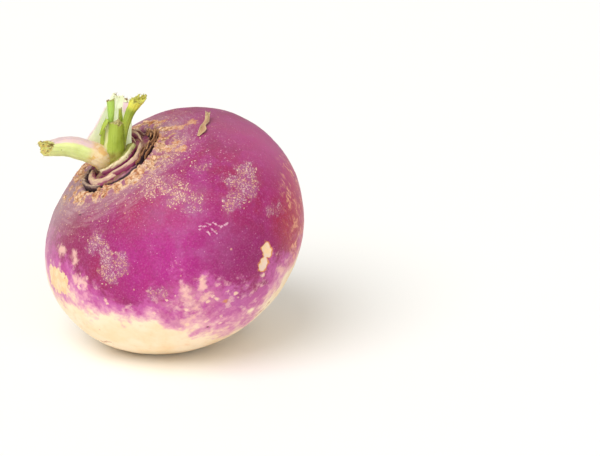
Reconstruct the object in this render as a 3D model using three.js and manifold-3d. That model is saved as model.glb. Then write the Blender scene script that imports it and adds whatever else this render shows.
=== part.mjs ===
// A purple-top turnip as picked and trimmed: one swollen root lying tilted on a small flat spot,
// a rosette of old leaf bases round its crown, and the broken stubs of its leaf stalks.
// Millimetres, +Z up. The origin is the middle of the flat spot that the root rests on.
import * as THREE from "three";
import { ParametricGeometry } from "three/addons/geometries/ParametricGeometry.js";
import { mergeVertices } from "three/addons/utils/BufferGeometryUtils.js";
import Module from "manifold-3d";

const wasm = await Module();
wasm.setup();
const degrees = THREE.MathUtils.degToRad;
const point = (x, y, z) => new THREE.Vector3(x, y, z);

// ---- driving dimensions --------------------------------------------------------------------
const ROOT_RADIUS = 45.8; // at the widest girth
const TOP_HEIGHT = 36.2; // widest girth to crown, along the root's own axis
const BOTTOM_HEIGHT = 39.6; // widest girth to the foot
const LEAN = degrees(35.7); // the axis away from upright
const LEAN_TOWARDS = degrees(197.6); // compass direction of the lean, from +X towards +Y
const FLAT_DEPTH = 1.7; // how much the flat spot takes off the belly
const CONTACT_GAP = 0.3; // between pieces that grow against each other

// Low lobes keep the girth from being a true circle: share of the radius, how many lobes, and
// where the first one points.
const LOBES = [
  { share: 0.014, count: 2, turned: degrees(109) },
  { share: 0.02, count: 3, turned: degrees(115) },
];
// The crown: the basin that the leaves stand in, the dark groove round it, the corky rim outside
// that with its high side, and the hollow that the lowest stalk left when it was pulled down.
const BASIN = { depth: 3.6, radius: 25 };
const GROOVE = { height: -1.2, radius: 14.3, width: 0.9 };
const RIM = { height: 0.3, radius: 16.8, width: 1.5 };
const HIGH_RIM = { height: 1.3, longitude: degrees(152), reach: degrees(42) };
const HOLLOW = { depth: 2.2, x: 9.6, y: -3.6, radius: 2.6 };
const TAIL = { length: 4.6, radius: 3.6 }; // the taproot, trimmed to a nub

const ROOT_SLICES = 48;
const ROOT_STACKS = 38;
const POLE_CROWDING = 0.115; // 0 spaces the rings of the mesh evenly, more crowds them at the poles

// ---- materials -----------------------------------------------------------------------------
const finish = (color, roughness) =>
  new THREE.MeshStandardMaterial({ color, roughness, metalness: 0 });
const materials = {
  skin: finish(0xab3f86, 0.5),
  paleStalk: finish(0xe6e8c4, 0.45),
  greenStalk: finish(0x9cab3c, 0.45),
  freshBase: finish(0xcfc394, 0.5),
  dryBase: finish(0x6d4a3c, 0.85),
};

// ---- solids --------------------------------------------------------------------------------
// A solid from place(turn, along), where turn goes round from 0 to 1 and along goes from one pole
// to the other. Each pole is one point.
function closedSolid(place, slices, stacks) {
  const at = (u, v, target) => target.copy(place(u % 1, v));
  const geometry = new ParametricGeometry(at, slices, stacks);
  geometry.deleteAttribute("normal");
  geometry.deleteAttribute("uv");
  const merged = mergeVertices(geometry, 1e-4);
  return new wasm.Manifold(
    new wasm.Mesh({
      numProp: 3,
      vertProperties: new Float32Array(merged.attributes.position.array),
      triVerts: new Uint32Array(merged.index.array),
    }),
  );
}

function toGeometry(solid) {
  const { numProp, vertProperties, triVerts } = solid.getMesh();
  const count = vertProperties.length / numProp;
  const places = new Float32Array(count * 3);
  for (let i = 0; i < count; i++) {
    places.set(vertProperties.subarray(i * numProp, i * numProp + 3), i * 3);
  }
  const geometry = new THREE.BufferGeometry();
  geometry.setAttribute("position", new THREE.BufferAttribute(places, 3));
  geometry.setIndex(new THREE.BufferAttribute(new Uint32Array(triVerts), 1));
  geometry.computeVertexNormals();
  return geometry;
}

const largest = (solid) =>
  solid.decompose().reduce((best, piece) => (piece.volume() > best.volume() ? piece : best));

// Pieces are placed in order. Each is cut clear of the ones before it, so what is placed first
// keeps its whole shape. build(grow) makes the piece with its skin moved out by grow.
const turnip = new THREE.Group();
const takenUp = [];
function place(name, build, material) {
  const solid = takenUp.reduce((piece, other) => piece.subtract(other), build(0));
  const mesh = new THREE.Mesh(toGeometry(largest(solid)), material);
  mesh.name = name;
  turnip.add(mesh);
  takenUp.push(build(CONTACT_GAP));
}

// The value of an evenly spaced list at a share of its length, joined smoothly.
function along(values, share) {
  const knots = values.map((value, i) => point(i, value, 0));
  return new THREE.CatmullRomCurve3(knots).getPoint(share).y;
}

// ---- the root ------------------------------------------------------------------------------
const ring = ({ height, radius, width }, distance) =>
  height * Math.exp(-(((distance - radius) / width) ** 2));

// A point of the root's skin in its own frame, with the crown at +Z. Longitude 0 is the side that
// the root leans to, and colatitude is 0 at the crown.
function skin(longitude, colatitude) {
  let swell = 1;
  for (const { share, count, turned } of LOBES) {
    swell += share * Math.cos(count * (longitude - turned)) * Math.sin(colatitude) ** 2;
  }
  const round = ROOT_RADIUS * Math.sin(colatitude);
  const x = round * swell * Math.cos(longitude);
  const y = round * swell * Math.sin(longitude);
  if (Math.cos(colatitude) < 0) {
    const tail = TAIL.length / (1 + (round / TAIL.radius) ** 4);
    return point(x, y, BOTTOM_HEIGHT * Math.cos(colatitude) - tail);
  }
  const basin = BASIN.depth / (1 + (round / BASIN.radius) ** 5);
  const away = Math.hypot(x - HOLLOW.x, y - HOLLOW.y);
  const hollow = HOLLOW.depth * Math.exp(-((away / HOLLOW.radius) ** 2));
  const turn = Math.cos(longitude - HIGH_RIM.longitude) - 1;
  const high = HIGH_RIM.height * Math.exp((2 * turn) / HIGH_RIM.reach ** 2);
  const rim = ring({ ...RIM, height: RIM.height + high }, round);
  return point(
    x,
    y,
    TOP_HEIGHT * Math.cos(colatitude) + ring(GROOVE, round) + rim - basin - hollow,
  );
}

function root(grow) {
  return closedSolid(
    (u, v) => {
      const crowded = v - POLE_CROWDING * Math.sin(2 * Math.PI * v);
      return skin(-2 * Math.PI * u, Math.PI * crowded);
    },
    ROOT_SLICES,
    ROOT_STACKS,
  ).scale(1 + grow / TOP_HEIGHT);
}

// The root is leaned over and cut level a little above its lowest point. The middle of the cut
// becomes the origin.
const turned = new THREE.Matrix4()
  .makeRotationZ(LEAN_TOWARDS)
  .multiply(new THREE.Matrix4().makeRotationY(LEAN));
const tilted = root(0).transform(turned.elements);
const floor = tilted.boundingBox().min[2] + FLAT_DEPTH;
const spot = tilted.slice(floor).bounds();
const leaning = new THREE.Matrix4()
  .makeTranslation(
    -(spot.min[0] + spot.max[0]) / 2,
    -(spot.min[1] + spot.max[1]) / 2,
    -floor,
  )
  .multiply(turned);

place(
  "root",
  (grow) => root(grow).transform(leaning.elements).trimByPlane([0, 0, 1], 0),
  materials.skin,
);

// ---- leaf stalks ---------------------------------------------------------------------------
// Their routes are measured from the floor of the basin but with Z straight up, because leaves
// turn to the light.
const crown = skin(0, 0).applyMatrix4(leaning);

// route runs up the middle of the stalk. inner is the side that faced the heart of the plant, where
// a stalk is channelled. width, thick and bow (how far the margins curl inwards) are given at even
// steps along the route, and slant tips the broken end. The strips are pieces of the margin that
// stayed on when the rest snapped off.
const STALKS = {
  stalk_left: {
    route: [
      point(-3.5, 1.6, -3.2),
      point(-5.2, 0.8, -0.2),
      point(-9.0, 0.2, 1.9),
      point(-15.4, -1.0, 4.1),
      point(-23.2, -2.2, 3.9),
    ],
    inner: point(0.25, 0.4, 1),
    width: [6.8, 8.2, 7.6, 7.2, 6.4],
    thick: [6.6, 8.0, 7.8, 7.4, 4.9],
    bow: [0.2, 0.4, 0.7, 0.8, 0.9],
    slant: 2.4,
    material: materials.paleStalk,
  },
  stalk_front: {
    route: [
      point(-0.9, -0.4, -3.0),
      point(-0.8, -0.5, 2.0),
      point(-0.5, -0.5, 7.0),
      point(-0.2, -0.4, 11.9),
    ],
    inner: point(0, 1, 0),
    width: [7.2, 7.6, 6.9, 6.3],
    thick: [3.4, 3.9, 3.8, 3.6],
    bow: [0.3, 0.5, 0.7, 0.8],
    slant: -0.6,
    strips: [
      {
        route: [point(-1.7, 0.3, 8.5), point(-1.4, 0.5, 14.0), point(-1.4, 0.8, 19.4)],
        inner: point(0.2, 1, 0),
        width: [1.8, 2.3, 2.5],
        thick: [1.6, 1.4, 1.1],
        bow: [0.1, 0.2, 0.3],
        slant: 0.2,
      },
      {
        route: [point(-2.6, -1.6, 13.0), point(-3.8, -1.9, 11.0), point(-5.1, -1.7, 7.6)],
        inner: point(0.9, 0.4, 0),
        width: [1.6, 1.6, 0.8],
        thick: [1.2, 1.1, 0.7],
        bow: [0.1, 0.2, 0.1],
        slant: 0.2,
      },
    ],
    material: materials.greenStalk,
  },
  stalk_right: {
    route: [
      point(3.8, -0.4, -2.2),
      point(3.8, -0.4, 4.0),
      point(3.9, -0.5, 10.0),
      point(5.1, -0.6, 15.2),
      point(8.8, -0.8, 19.0),
    ],
    inner: point(-0.6, 0.6, 0.3),
    width: [2.6, 2.6, 2.8, 3.6, 6.0],
    thick: [2.2, 2.2, 2.3, 2.5, 3.0],
    bow: [0.2, 0.2, 0.3, 0.4, 0.5],
    slant: 1.0,
    material: materials.greenStalk,
  },
  heart_leaf: {
    route: [point(1.6, 2.8, -2.0), point(1.5, 2.8, 7.0), point(1.6, 2.6, 15.8)],
    inner: point(0, 1, 0),
    width: [2.2, 2.0, 0.9],
    thick: [1.6, 1.4, 0.7],
    bow: [0.2, 0.2, 0.1],
    slant: 0.3,
    material: materials.greenStalk,
  },
  stalk_back: {
    route: [
      point(-3.5, 6.0, -3.4),
      point(-2.5, 6.2, 2.2),
      point(-0.9, 6.2, 7.9),
      point(0.7, 6.2, 13.6),
      point(2.0, 6.0, 19.0),
    ],
    inner: point(0, -1, 0),
    width: [14.4, 15.8, 12.2, 9.4, 6.0],
    thick: [2.4, 2.4, 2.3, 2.2, 1.8],
    bow: [2.6, 2.6, 2.2, 1.8, 1.2],
    slant: 0.6,
    material: materials.paleStalk,
  },
};
const STALK_SLICES = 14;
const STALK_STACKS = 13;
const STRIP_SLICES = 8;
const STRIP_STACKS = 8;

function stalk({ route, inner, width, thick, bow, slant }, grow, slices, stacks) {
  const middle = new THREE.CatmullRomCurve3(route);
  return closedSolid(
    (u, v) => {
      const cap = v === 0 || v === 1 ? 0 : 1;
      const share = THREE.MathUtils.clamp((v - 0.03) / 0.94, 0, 1);
      const tangent = middle.getTangent(share);
      const inwards = inner.clone().projectOnPlane(tangent).normalize();
      const across = new THREE.Vector3().crossVectors(inwards, tangent);
      const turn = 2 * Math.PI * u;
      const side = cap * Math.cos(turn);
      const depth = cap * Math.sin(turn);
      const halfWidth = along(width, share) / 2 + grow;
      const halfThick = along(thick, share) / 2 + grow;
      const curl = along(bow, share);
      const channel = depth > 0 ? curl * depth * (1 - side * side) : 0;
      const tip = slant * side * share ** 8;
      return middle
        .getPoint(share)
        .addScaledVector(across, side * halfWidth)
        .addScaledVector(inwards, depth * halfThick + curl * side * side - channel)
        .addScaledVector(tangent, tip);
    },
    slices,
    stacks,
  );
}

for (const [name, { strips = [], material, ...shape }] of Object.entries(STALKS)) {
  const build = (grow) => {
    const whole = strips.reduce(
      (body, strip) => body.add(stalk(strip, grow, STRIP_SLICES, STRIP_STACKS)),
      stalk(shape, grow, STALK_SLICES, STALK_STACKS),
    );
    return whole.translate(crown.toArray());
  };
  place(name, build, material);
}

// ---- old leaf bases ------------------------------------------------------------------------
// Each is a low upright lip that follows part of a ring round the crown and thins out towards its
// ends: distance from the axis at its middle, how much nearer its ends are, from and to (longitude
// in degrees), height above the basin, thickness, and how far its upper edge leans out.
const LEAF_BASES = {
  leaf_base_inner: { radius: 7.2, inturn: 0.7, from: 6, to: 168, height: 2.9, thick: 2.1, flare: 0.4 },
  leaf_base_front: { radius: 10.9, inturn: 0.9, from: -34, to: 72, height: 1.9, thick: 1.6, flare: 0.3 },
  leaf_base_right: { radius: 11.6, inturn: 1.7, from: 46, to: 158, height: 2.6, thick: 1.7, flare: 0.3 },
  leaf_base_back: { radius: 10.8, inturn: 1.1, from: 168, to: 300, height: 2.3, thick: 1.7, flare: 0.3 },
  dry_base_left: { radius: 14.2, inturn: 0.8, from: -56, to: 38, height: 1.8, thick: 1.2, flare: 0.2 },
  dry_base_right: { radius: 14.4, inturn: 1.2, from: 104, to: 192, height: 2.9, thick: 1.1, flare: 0.5 },
  dry_base_back: { radius: 13.8, inturn: 0.9, from: 204, to: 286, height: 2.3, thick: 1.1, flare: 0.3 },
};
const BASE_SLICES = 7;
const BASE_STACKS = 18;
const ROOTED = 2.2; // how far a lip starts below the crown before the root cuts it off
const THIN_END = 0.22; // what is left of the thickness at its ends

function leafBase({ radius, inturn, from, to, height, thick, flare }, grow) {
  return closedSolid(
    (u, v) => {
      const cap = v === 0 || v === 1 ? 0 : 1;
      const share = THREE.MathUtils.clamp((v - 0.02) / 0.96, 0, 1);
      const longitude = degrees(from + (to - from) * share);
      const full = THIN_END + (1 - THIN_END) * Math.sin(Math.PI * share) ** 0.6;
      const turn = -2 * Math.PI * u;
      const tall = ROOTED + height * full;
      const up = cap * Math.sin(turn) * (tall / 2 + grow) + tall / 2 - ROOTED;
      const middle = radius - inturn * Math.cos(Math.PI * share) ** 2;
      const lean = flare * Math.max(up, 0) * full;
      const out = middle + lean + cap * Math.cos(turn) * ((thick / 2) * full + grow);
      const level = TOP_HEIGHT * Math.sqrt(1 - (middle / ROOT_RADIUS) ** 2) - BASIN.depth;
      return point(out * Math.cos(longitude), out * Math.sin(longitude), level + up);
    },
    BASE_SLICES,
    BASE_STACKS,
  );
}

for (const [name, shape] of Object.entries(LEAF_BASES)) {
  place(
    name,
    (grow) => leafBase(shape, grow).transform(leaning.elements),
    name.startsWith("dry") ? materials.dryBase : materials.freshBase,
  );
}

// ---- dry flake -----------------------------------------------------------------------------
// A curled shred of dead leaf sheath that still clings to the shoulder by one end.
const FLAKE = {
  from: { colatitude: degrees(36.6), longitude: degrees(142) },
  to: { colatitude: degrees(44.5), longitude: degrees(172.8) },
  width: [1.2, 3.2, 1.6, 2.6, 0.8],
  lift: [0.35, 0.4, 0.9, 1.5, 2.2],
  thick: 0.5,
};
const FLAKE_SLICES = 7;
const FLAKE_STACKS = 12;

function dryFlake() {
  const start = skin(FLAKE.from.longitude, FLAKE.from.colatitude);
  const end = skin(FLAKE.to.longitude, FLAKE.to.colatitude);
  const heading = end.clone().sub(start).normalize();
  return closedSolid(
    (u, v) => {
      const cap = v === 0 || v === 1 ? 0 : 1;
      const share = THREE.MathUtils.clamp((v - 0.02) / 0.96, 0, 1);
      const middle = skin(
        THREE.MathUtils.lerp(FLAKE.from.longitude, FLAKE.to.longitude, share),
        THREE.MathUtils.lerp(FLAKE.from.colatitude, FLAKE.to.colatitude, share),
      );
      const out = middle.clone().normalize();
      const across = new THREE.Vector3().crossVectors(out, heading).normalize();
      const turn = 2 * Math.PI * u;
      const sideways = (cap * Math.cos(turn) * along(FLAKE.width, share)) / 2;
      const raised = along(FLAKE.lift, share) + (FLAKE.thick / 2) * (1 + cap * Math.sin(turn));
      return middle.addScaledVector(out, raised).addScaledVector(across, sideways);
    },
    FLAKE_SLICES,
    FLAKE_STACKS,
  );
}
place("dry_flake", () => dryFlake().transform(leaning.elements), materials.dryBase);

export default turnip;
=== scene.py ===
# %% [markdown]
# # A purple-top turnip, just trimmed
#
# The real object is one swollen root. Its leaves were snapped off by hand, and it lies tilted on a
# small flat spot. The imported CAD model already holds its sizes, so we load that first and build every
# detailed piece around it in the same frame.

# %% Load the measured model
import math
from functools import partial, reduce

import bmesh
import bpy
import numpy as np
from mathutils import Matrix, Vector, noise


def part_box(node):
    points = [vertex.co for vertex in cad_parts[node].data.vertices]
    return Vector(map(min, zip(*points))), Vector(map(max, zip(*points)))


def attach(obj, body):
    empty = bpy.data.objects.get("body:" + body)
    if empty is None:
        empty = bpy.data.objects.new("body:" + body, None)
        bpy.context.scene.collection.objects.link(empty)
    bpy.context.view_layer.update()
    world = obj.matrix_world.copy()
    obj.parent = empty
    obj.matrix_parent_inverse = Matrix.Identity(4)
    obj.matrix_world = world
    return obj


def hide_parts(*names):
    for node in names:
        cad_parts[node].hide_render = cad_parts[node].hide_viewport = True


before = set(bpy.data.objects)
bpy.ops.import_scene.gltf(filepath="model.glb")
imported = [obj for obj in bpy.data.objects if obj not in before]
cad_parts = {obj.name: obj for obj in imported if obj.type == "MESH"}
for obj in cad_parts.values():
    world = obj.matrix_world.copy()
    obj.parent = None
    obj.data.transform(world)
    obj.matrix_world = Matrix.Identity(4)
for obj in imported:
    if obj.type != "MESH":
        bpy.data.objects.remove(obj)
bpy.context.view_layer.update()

MM = 0.001

# %% [markdown]
# ## Where the root lies
#
# A turnip is drawn most easily upright. So its skin is worked out in a frame of its own, where
# colatitude 0 is the crown and longitude 0 is the side that it leans to. One turn and one shift then
# lay it down. The shift is found from the box of the CAD root, so nothing is fitted by eye.

# %% The root's own shape
ROOT_RADIUS = 45.8
TOP_HEIGHT = 36.2
BOTTOM_HEIGHT = 39.6
LEAN = math.radians(35.7)
LEAN_TOWARDS = math.radians(197.6)
LOBES = [(0.014, 2, math.radians(109)), (0.02, 3, math.radians(115))]  # share, count, turned
BASIN = (3.6, 25.0, 5)  # depth, radius, steepness
GROOVE = (-1.2, 14.3, 0.9)  # height, radius, width
RIM = (0.3, 16.8, 1.5)
HIGH_RIM = (1.3, math.radians(152), math.radians(42))  # height, longitude, reach
HOLLOW = (2.2, 9.6, -3.6, 2.6)  # depth, x, y, radius
TAIL = (4.6, 3.6, 4)  # length, radius, steepness
MEAN_HEIGHT = 38.0
print("root:", 2 * ROOT_RADIUS, "mm across,", round(TOP_HEIGHT + BOTTOM_HEIGHT, 1), "mm from top to bottom")


def ring(distance, height, radius, width):
    """The height of a low ridge that runs round the axis."""
    return height * np.exp(-(((distance - radius) / width) ** 2))


def skin(longitude, colatitude):
    """Points of the smooth skin in millimetres, in the root's own frame."""
    swell = 1.0
    for share, count, turned in LOBES:
        swell = swell + share * np.cos(count * (longitude - turned)) * np.sin(colatitude) ** 2
    away = ROOT_RADIUS * np.sin(colatitude)
    x = away * swell * np.cos(longitude)
    y = away * swell * np.sin(longitude)
    below = BOTTOM_HEIGHT * np.cos(colatitude) - TAIL[0] / (1 + (away / TAIL[1]) ** TAIL[2])
    high = HIGH_RIM[0] * np.exp(2 * (np.cos(longitude - HIGH_RIM[1]) - 1) / HIGH_RIM[2] ** 2)
    hollow = HOLLOW[0] * np.exp(-((x - HOLLOW[1]) ** 2 + (y - HOLLOW[2]) ** 2) / HOLLOW[3] ** 2)
    above = TOP_HEIGHT * np.cos(colatitude) - BASIN[0] / (1 + (away / BASIN[1]) ** BASIN[2])
    above = above + ring(away, *GROOVE) + ring(away, RIM[0] + high, *RIM[1:]) - hollow
    return np.stack([x, y, np.where(np.cos(colatitude) < 0, below, above)], axis=-1)


# %% Lay the root down
laid_down = Matrix.Rotation(LEAN_TOWARDS, 3, "Z") @ Matrix.Rotation(LEAN, 3, "Y")
LAID = np.array(laid_down)


def find_middle():
    """The middle of the girth in the world, from the box of the CAD root."""
    turns, falls = np.meshgrid(np.linspace(0, 2 * np.pi, 181), np.linspace(0, np.pi, 121))
    leaned = skin(turns, falls).reshape(-1, 3) @ LAID.T
    low, high = (np.array(corner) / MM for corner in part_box("root"))
    middle = (low + high) / 2 - (leaned.min(axis=0) + leaned.max(axis=0)) / 2
    middle[2] = high[2] - leaned[:, 2].max()
    return middle


MIDDLE = find_middle()


def laid(points):
    """Points of the root's own frame, laid down in the world. Both are in millimetres."""
    return np.asarray(points) @ LAID.T + MIDDLE


def on_skin(colatitude, longitude):
    """One point of the skin from its place in degrees."""
    return Vector(skin(np.radians(longitude), np.radians(colatitude)))


CROWN = laid(on_skin(0, 0))
print("middle of the girth, mm:", MIDDLE.round(2), "crown:", CROWN.round(2))

# %% [markdown]
# ## Camera, light and table
#
# The turnip is seen from a little above, through a long lens, and stands left of the middle. The light
# is that of a white tent: a bright even surround, a broad lamp at the upper left, a weaker one in
# front, and a white table that throws light back up at the belly. The Standard view transform keeps
# the magenta strong.

# %% Camera
LOOKED_AT = Vector((6.4, 1.4, 37.3)) * MM
DISTANCE = 0.62
LOOKING_DOWN = math.radians(18)
RIGHT_OF_TURNIP = 0.04205
ABOVE_TURNIP = 0.00138
LENS = 110.3
SENSOR = 36

scene = bpy.context.scene
forward = Vector((0, math.cos(LOOKING_DOWN), -math.sin(LOOKING_DOWN)))
upward = Vector((0, math.sin(LOOKING_DOWN), math.cos(LOOKING_DOWN)))
camera = bpy.data.objects.new("camera", bpy.data.cameras.new("camera"))
camera.data.lens = LENS
camera.data.sensor_width = SENSOR
camera.location = LOOKED_AT - forward * DISTANCE
aim = LOOKED_AT + Vector((RIGHT_OF_TURNIP, 0, 0)) + upward * ABOVE_TURNIP
camera.rotation_euler = (aim - camera.location).to_track_quat("-Z", "Y").to_euler()
scene.collection.objects.link(camera)
scene.camera = camera
scene.view_settings.view_transform = "Standard"
print("camera at", tuple(round(v, 3) for v in camera.location))

# %% Node helpers: setting and adding
def fill(node, inputs):
    """Set a node's inputs. Each may be a value or another node's socket."""
    for name, value in inputs.items():
        if isinstance(value, bpy.types.NodeSocket):
            node.id_data.links.new(value, node.inputs[name])
        else:
            node.inputs[name].default_value = value
    return node


def add(tree, kind, inputs=None, **settings):
    """A new node with its inputs and its settings."""
    node = tree.nodes.new(kind)
    for name, value in settings.items():
        setattr(node, name, value)
    return fill(node, inputs or {})


# %% Node helpers: sums, masks and vectors
def tree_of(values):
    """The node tree that the first socket among the values belongs to."""
    return next(value.id_data for value in values if isinstance(value, bpy.types.NodeSocket))


def work(operation, *values, clamp=False):
    """Maths with single numbers."""
    inputs = dict(enumerate(values))
    return add(tree_of(values), "ShaderNodeMath", inputs, operation=operation, use_clamp=clamp).outputs[0]


def arrows(operation, *values, output=0, **named):
    """Maths with places and directions."""
    inputs = dict(enumerate(values)) | named
    return add(tree_of(values), "ShaderNodeVectorMath", inputs, operation=operation).outputs[output]


def joined(*parts):
    """Up to three numbers as one place."""
    return add(tree_of(parts), "ShaderNodeCombineXYZ", dict(enumerate(parts))).outputs[0]


def chained(operation):
    """Maths on two values or more, one after the other."""
    return lambda *values: reduce(partial(work, operation), values)


times, plus, minus = map(chained, ("MULTIPLY", "ADD", "SUBTRACT"))
either = chained("MAXIMUM")  # the strongest of several masks


def fade(value, nothing, full):
    """0 where the value is at or past nothing, 1 where it is at or past full."""
    inputs = {"Value": value, "From Min": nothing, "From Max": full}
    return add(value.id_data, "ShaderNodeMapRange", inputs, interpolation_type="SMOOTHSTEP").outputs[0]


# %% Node helpers: colours
RELIEF = 0.0002  # metres that the finest bumps stand up


def hue(code):
    """A colour such as #a1b2c3 as Blender wants it."""
    parts = [int(code[i : i + 2], 16) / 255 for i in (1, 3, 5)]
    return (*((p / 12.92 if p <= 0.04045 else ((p + 0.055) / 1.055) ** 2.4) for p in parts), 1)


def coat(mask, under, over):
    """Lay the colour over on the colour under, as far as the mask says."""
    colours = [hue(c) if isinstance(c, str) else c for c in (under, over)]
    inputs = {0: mask, 6: colours[0], 7: colours[1]}  # 6 and 7 are the colour sockets of a Mix node
    return add(mask.id_data, "ShaderNodeMix", inputs, data_type="RGBA").outputs[2]


def coats(colour, *layers):
    """Lay several coats on a colour, each a mask and a colour."""
    return reduce(lambda under, layer: coat(layer[0], under, layer[1]), layers, colour)


def dress(shader, colour, strength, relief, others):
    """Give a shader its colour, its fine relief and its other looks."""
    raised = {"Strength": strength, "Distance": RELIEF, "Height": relief}
    bump = add(shader.id_data, "ShaderNodeBump", raised)
    fill(shader, {"Base Color": colour, "Normal": bump.outputs[0]} | others)


# %% Light
TENT = {"Color": (1, 0.975, 0.935, 1), "Strength": 0.555}
world = bpy.data.worlds.new("tent")
world.use_nodes = True
fill(world.node_tree.nodes["Background"], TENT)
scene.world = world


def sun(name, towards, strength, softness, colour):
    """A sun has no falloff, so the whole table is lit alike. Softness is its width in degrees."""
    light = bpy.data.lights.new(name, "SUN")
    light.energy = strength
    light.angle = math.radians(softness)
    light.color = colour
    lamp = bpy.data.objects.new(name, light)
    lamp.rotation_euler = Vector(towards).to_track_quat("-Z", "Y").to_euler()
    scene.collection.objects.link(lamp)


sun("broad_lamp", (0.45, 0.55, -0.9), 2.02, 45, (0.97, 0.99, 1.0))
sun("front_lamp", (-0.2, 1.0, -0.25), 0.9, 80, (1.0, 1.0, 1.0))

# %% Table
TABLE = 6.0  # metres
table_mesh = bpy.data.meshes.new("table")
half = TABLE / 2
corners = [(-half, -half, 0), (half, -half, 0), (half, half, 0), (-half, half, 0)]
table_mesh.from_pydata(corners, [], [(0, 1, 2, 3)])
table = bpy.data.objects.new("table", table_mesh)
scene.collection.objects.link(table)
table_finish = bpy.data.materials.new("white_table")
table_finish.use_nodes = True
fill(table_finish.node_tree.nodes["Principled BSDF"], {"Base Color": hue("#fbfaf7"), "Roughness": 0.6})
table_mesh.materials.append(table_finish)
print("table", TABLE, "m square")

# %% [markdown]
# ## Tools for soft, grown shapes
#
# Nearly every piece here is a skin swept along something: the root round its axis, a stalk along its
# middle, a leaf base round the crown. A grid of rings is enough for all of them. Each grid also
# carries numbers about itself, such as how torn the surface is at a point, so the colours can follow
# the shape exactly. Blender keeps such numbers as attributes.

# %% Uneven ground, soft steps and circles
def rough(points, size, seed=0, octaves=3):
    """Uneven ground from about -1 to 1. Its bumps are about size across."""
    shift = Vector((17.3, 5.1, 9.7)) * seed
    flat = np.asarray(points).reshape(-1, 3) / size
    heights = [noise.fractal(Vector(p) + shift, 1.0, 2.0, octaves) for p in flat]
    return np.array(heights).reshape(np.shape(points)[:-1])


def ramp(values, nothing, full):
    """0 at nothing, 1 at full, and an even S-shaped way between."""
    share = np.clip((np.asarray(values) - nothing) / (full - nothing), 0, 1)
    return share * share * (3 - 2 * share)


def full_turn(slices):
    """Even steps once round, as a row."""
    return np.linspace(0, 2 * np.pi, slices, endpoint=False)[None]


def pole(radius, longitude, height):
    """Places round an upright axis."""
    spots = np.broadcast_arrays(radius * np.cos(longitude), radius * np.sin(longitude), height)
    return np.stack(spots, axis=-1)


# %% Rings into a mesh
def rings_to_mesh(name, parts):
    """One closed mesh for each part, joined. A part is its rings (ring, point, xyz) in millimetres
    and a dictionary of fields, each a number for every point."""
    corners, faces, fields = [], [], {}
    start = 0
    for rings, numbers in parts:
        stacks, slices, _ = rings.shape
        grid = start + np.arange(stacks * slices).reshape(stacks, slices)
        beside = np.roll(grid, -1, axis=1)
        quads = np.stack([grid[:-1], beside[:-1], beside[1:], grid[1:]], axis=-1).reshape(-1, 4)
        first, last = start + stacks * slices, start + stacks * slices + 1
        faces += quads.tolist()
        faces += [(first, b, a) for a, b in zip(grid[0].tolist(), beside[0].tolist())]
        faces += [(last, a, b) for a, b in zip(grid[-1].tolist(), beside[-1].tolist())]
        corners += [rings.reshape(-1, 3), rings[0].mean(axis=0)[None], rings[-1].mean(axis=0)[None]]
        for key, values in numbers.items():
            full = np.broadcast_to(values, (stacks, slices))
            ends = [full[0].mean(), full[-1].mean()]
            fields.setdefault(key, []).append(np.concatenate([full.reshape(-1), ends]))
        start += stacks * slices + 2
    mesh = bpy.data.meshes.new(name)
    mesh.from_pydata((np.concatenate(corners) * MM).tolist(), [], faces)
    for key, values in fields.items():
        mesh.attributes.new(key, "FLOAT", "POINT").data.foreach_set("value", np.concatenate(values))
    shell = bmesh.new()
    shell.from_mesh(mesh)
    bmesh.ops.recalc_face_normals(shell, faces=shell.faces)
    shell.to_mesh(mesh)
    shell.free()
    mesh.shade_smooth()
    return mesh


# %% A finished piece
def piece(name, mesh, finish, slot, *nodes):
    """Put a finished mesh in the scene on the root's body, hide the CAD parts that it takes the place of, and
    print its triangle count.
    """
    thing = bpy.data.objects.new(name, mesh)
    mesh.materials.clear()
    mesh.materials.append(finish)
    scene.collection.objects.link(thing)
    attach(thing, "root")
    if nodes:
        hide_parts(*nodes)
    triangles = sum(len(face.vertices) - 2 for face in mesh.polygons)
    print(f"{name}: {triangles} triangles")


# %% [markdown]
# ## Effects that several finishes share
#
# Skin, stalks and leaf bases all have clouds of colour, specks, or ragged patches. Each effect is a
# node group with its own named inputs, so it is built once and set again in every finish. A group
# gives only a mask. The colour that the mask lays down is set in the material itself.

# %% A node group that gives a mask
FLOAT = "NodeSocketFloat"
VECTOR = "NodeSocketVector"
NOISE = "ShaderNodeTexNoise"


def mask_group(name, places, numbers, build):
    """A group that takes places and numbers, and gives the one mask that build makes of them."""
    group = bpy.data.node_groups.new(name, "ShaderNodeTree")
    for label in places:
        group.interface.new_socket(label, in_out="INPUT", socket_type=VECTOR)
    for label, value in numbers.items():
        group.interface.new_socket(label, in_out="INPUT", socket_type=FLOAT).default_value = value
    group.interface.new_socket("Mask", in_out="OUTPUT", socket_type=FLOAT)
    given = group.nodes.new("NodeGroupInput").outputs
    fill(group.nodes.new("NodeGroupOutput"), {"Mask": build(given)})
    return group


# %% Node groups: cloud, specks and patch
CLOUD_ROUGHNESS = 0.58
DOT_BUMPS, DOT_BITE = 1.9, 2.2  # how fine and how deep the bites in a dot's edge are
DOT_SMALLEST = 0.4  # of the size asked for
DOT_EDGE = 0.45  # how far in from its edge a dot is full


def soft_cloud(given):
    """Soft clouds, about Size across. They begin at Low and are full at High."""
    group = given["Place"].id_data
    scale = work("DIVIDE", 1.0, given["Size"])
    drift = {"Vector": given["Place"], "Scale": scale, "Detail": given["Detail"],
             "Roughness": CLOUD_ROUGHNESS}
    return fade(add(group, NOISE, drift).outputs["Fac"], given["Low"], given["High"])


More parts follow.
